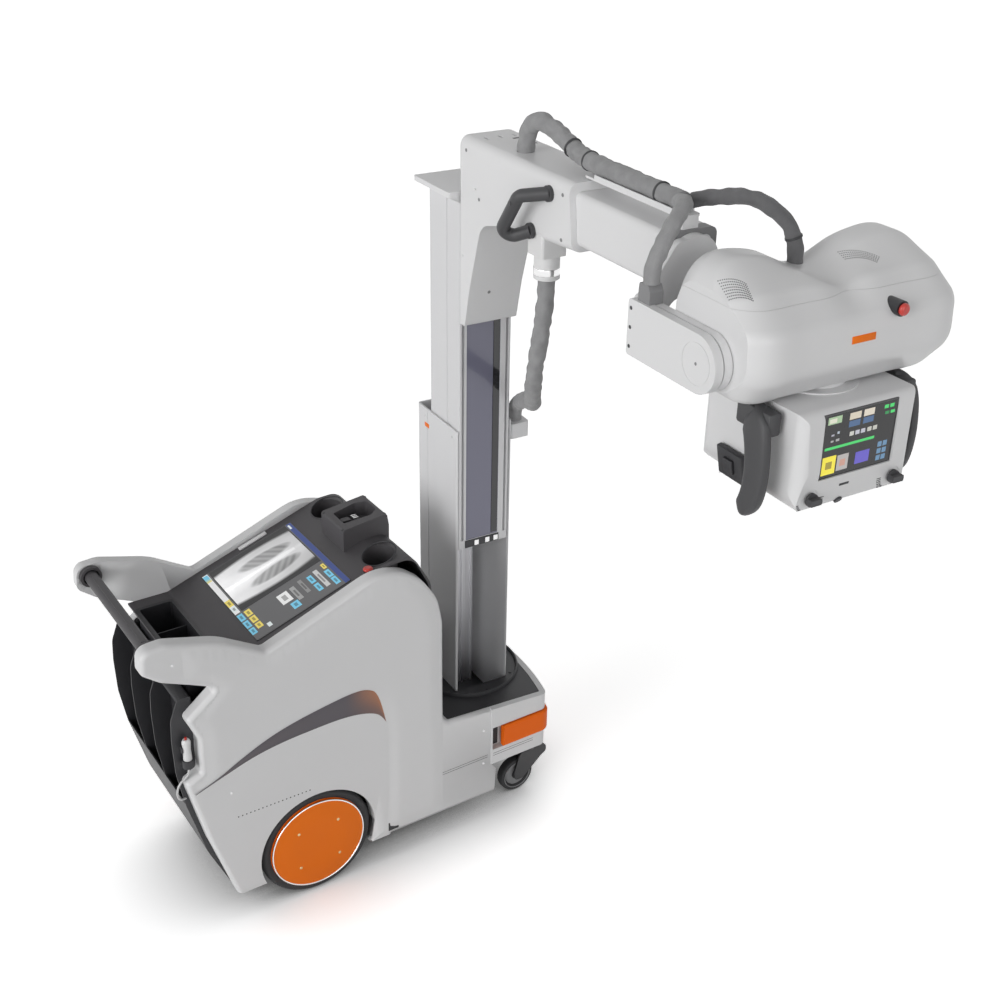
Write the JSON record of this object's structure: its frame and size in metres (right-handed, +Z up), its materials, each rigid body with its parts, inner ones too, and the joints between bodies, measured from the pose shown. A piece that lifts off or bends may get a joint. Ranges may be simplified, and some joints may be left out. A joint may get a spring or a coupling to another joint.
{
  "type": "mobile x-ray machine",
  "caption": "Mobile x-ray machine: motor driven base with sloping console, turning telescopic column, telescopic arm and tilting tube head with collimator.",
  "frame": {"origin": "centre of the bounding box's base, on the floor, leaving out the hoses", "axes": "+X is the driving direction, away from the push bar; +Y is the driver's left; +Z is up"},
  "size_m": [1.4767, 1.6778, 2.2141],
  "materials": {
    "cover": "satin",
    "arm_paint": "satin",
    "dark_trim": "matte",
    "black_rack": "matte",
    "frame_steel": "satin",
    "battery_case": "matte",
    "generator_case": "satin",
    "motor": "satin",
    "tyre": "matte",
    "orange": "satin",
    "mast_metal": "satin",
    "guide_metal": "satin",
    "window_strip": "gloss",
    "glass_black": "gloss",
    "grey_trim": "matte",
    "hose_sleeve": "matte",
    "steel": "satin",
    "red": "gloss",
    "white_plastic": "satin",
    "caster_black": "satin"
  },
  "bodies": {
    "base": {"chassis_frame": "frame_steel", "deck_posts": "frame_steel", "near_side_cover": "cover", "far_side_cover": "cover", "front_shroud": "cover", "deck_plate": "dark_trim", "drive_motors": "motor", "battery_pack": "battery_case", "hv_generator": "generator_case", "console_deck": "dark_trim", "main_display": "glass_black", "storage_well": "black_rack", "head_dock": "dark_trim", "detector_bin": "black_rack", "bar_sockets": "dark_trim", "hand_switch": "white_plastic", "switch_lead": "white_plastic"},
    "bumper_bar": {"bumper": "orange"},
    "drive_handle": {"drive_bar": "dark_trim"},
    "console_button": {"console_stop": "red"},
    "switch_button": {"switch_trigger": "red"},
    "near_wheel": {"near_tyre": "tyre", "near_hub": "orange"},
    "far_wheel": {"far_tyre": "tyre", "far_hub": "orange"},
    "near_caster": {"near_caster_yoke": "caster_black"},
    "near_roller": {"near_caster_wheel": "tyre"},
    "far_caster": {"far_caster_yoke": "caster_black"},
    "far_roller": {"far_caster_wheel": "tyre"},
    "column": {"mast_base": "dark_trim", "outer_mast": "mast_metal", "mast_guide": "guide_metal"},
    "lift": {"inner_mast": "mast_metal", "mast_window": "window_strip", "mast_cap": "arm_paint"},
    "carriage": {"carriage_plate": "steel", "carriage_skirt": "cover", "arm_outer_tube": "arm_paint", "arm_handle": "grey_trim", "hose_gland": "white_plastic", "mast_hose": "hose_sleeve"},
    "grip_button": {"handle_trigger": "dark_trim"},
    "arm_mid": {"arm_mid_tube": "arm_paint", "arm_collar": "grey_trim", "hose_rail": "white_plastic", "arm_hose": "hose_sleeve"},
    "arm_tip": {"arm_inner_tube": "arm_paint"},
    "wrist": {"wrist_bracket": "grey_trim", "side_link": "arm_paint", "link_connector": "grey_trim", "link_hose": "hose_sleeve"},
    "head": {"head_lower_shell": "cover", "head_upper_shell": "cover", "xray_tube": "steel", "head_hose": "hose_sleeve"},
    "head_button": {"head_stop": "red"},
    "collimator": {"collimator_body": "cover", "collimator_display": "glass_black", "collimator_grips": "grey_trim"},
    "near_dial": {"near_knob": "dark_trim"},
    "far_dial": {"far_knob": "dark_trim"}
  },
  "joints": [
    {"name": "column_rotation", "type": "hinge", "parent": "base", "child": "column", "pos_m": [0.36568, 0.56493, 0.28], "axis": [0, 0, 1], "range_deg": [-177, 363]},
    {"name": "mast_lift", "type": "slide", "parent": "column", "child": "lift", "axis": [0, 0, 1], "range_m": [-0.595, 0.03]},
    {"name": "carriage_lift", "type": "slide", "parent": "lift", "child": "carriage", "axis": [0, 0, 1], "range_m": [-0.595, 0.03], "deforming": ["mast_hose"]},
    {"name": "arm_slide_mid", "type": "slide", "parent": "carriage", "child": "arm_mid", "axis": [-0.0523, -0.9986, 0], "range_m": [-0.29, 0], "deforming": ["arm_hose"]},
    {"name": "arm_slide_tip", "type": "slide", "parent": "arm_mid", "child": "arm_tip", "axis": [-0.0523, -0.9986, 0], "range_m": [0, 0.128]},
    {"name": "wrist_turn", "type": "hinge", "parent": "arm_tip", "child": "wrist", "pos_m": [0.31413, -0.41872, 2.029], "axis": [-0.0523, -0.9986, 0], "range_deg": [-180, 180], "deforming": ["link_hose"]},
    {"name": "head_tilt", "type": "hinge", "parent": "wrist", "child": "head", "pos_m": [0.18709, -0.64539, 1.912], "axis": [-0.9986, 0.0523, 0], "range_deg": [-20, 90], "deforming": ["head_hose"]},
    {"name": "collimator_turn", "type": "hinge", "parent": "head", "child": "collimator", "pos_m": [0.45688, -0.65652, 1.82], "axis": [0, 0, 1], "range_deg": [-90, 90]},
    {"name": "near_dial_turn", "type": "hinge", "parent": "collimator", "child": "near_dial", "pos_m": [0.33666, -0.81044, 1.632], "axis": [-0.0523, -0.9986, 0], "range_deg": [-150, 150]},
    {"name": "far_dial_turn", "type": "hinge", "parent": "collimator", "child": "far_dial", "pos_m": [0.56035, -0.82216, 1.632], "axis": [-0.0523, -0.9986, 0], "range_deg": [-150, 150]},
    {"name": "grip_press", "type": "slide", "parent": "carriage", "child": "grip_button", "axis": [0.9986, -0.0523, 0], "range_m": [0, 0.0025], "stiffness_N_per_m": 600},
    {"name": "head_stop_press", "type": "slide", "parent": "head", "child": "head_button", "axis": [-0.0523, -0.9986, 0], "range_m": [-0.003, 0], "stiffness_N_per_m": 900},
    {"name": "console_stop_press", "type": "slide", "parent": "base", "child": "console_button", "axis": [0, 0, 1], "range_m": [-0.003, 0], "stiffness_N_per_m": 900},
    {"name": "switch_press", "type": "slide", "parent": "base", "child": "switch_button", "axis": [0, 0, 1], "range_m": [-0.003, 0], "stiffness_N_per_m": 500},
    {"name": "bumper_press", "type": "slide", "parent": "base", "child": "bumper_bar", "axis": [1, 0, 0], "range_m": [-0.008, 0], "stiffness_N_per_m": 6000},
    {"name": "handle_push", "type": "slide", "parent": "base", "child": "drive_handle", "axis": [1, 0, 0], "range_m": [-0.003, 0.003], "stiffness_N_per_m": 20000},
    {"name": "near_wheel_roll", "type": "hinge", "parent": "base", "child": "near_wheel", "pos_m": [-0.28432, 0.34293, 0.172], "axis": [0, 1, 0], "continuous": true},
    {"name": "far_wheel_roll", "type": "hinge", "parent": "base", "child": "far_wheel", "pos_m": [-0.28432, 0.78693, 0.172], "axis": [0, 1, 0], "continuous": true},
    {"name": "near_caster_swivel", "type": "hinge", "parent": "base", "child": "near_caster", "pos_m": [0.48768, 0.38493, 0.2], "axis": [0, 0, 1], "continuous": true},
    {"name": "far_caster_swivel", "type": "hinge", "parent": "base", "child": "far_caster", "pos_m": [0.48768, 0.74493, 0.2], "axis": [0, 0, 1], "continuous": true},
    {"name": "near_caster_roll", "type": "hinge", "parent": "near_caster", "child": "near_roller", "pos_m": [0.44868, 0.38493, 0.062], "axis": [0, 1, 0], "continuous": true},
    {"name": "far_caster_roll", "type": "hinge", "parent": "far_caster", "child": "far_roller", "pos_m": [0.44868, 0.74493, 0.062], "axis": [0, 1, 0], "continuous": true}
  ],
  "couplings": [
    {"joint": "carriage_lift", "follows": "mast_lift", "ratio": 1}
  ]
}
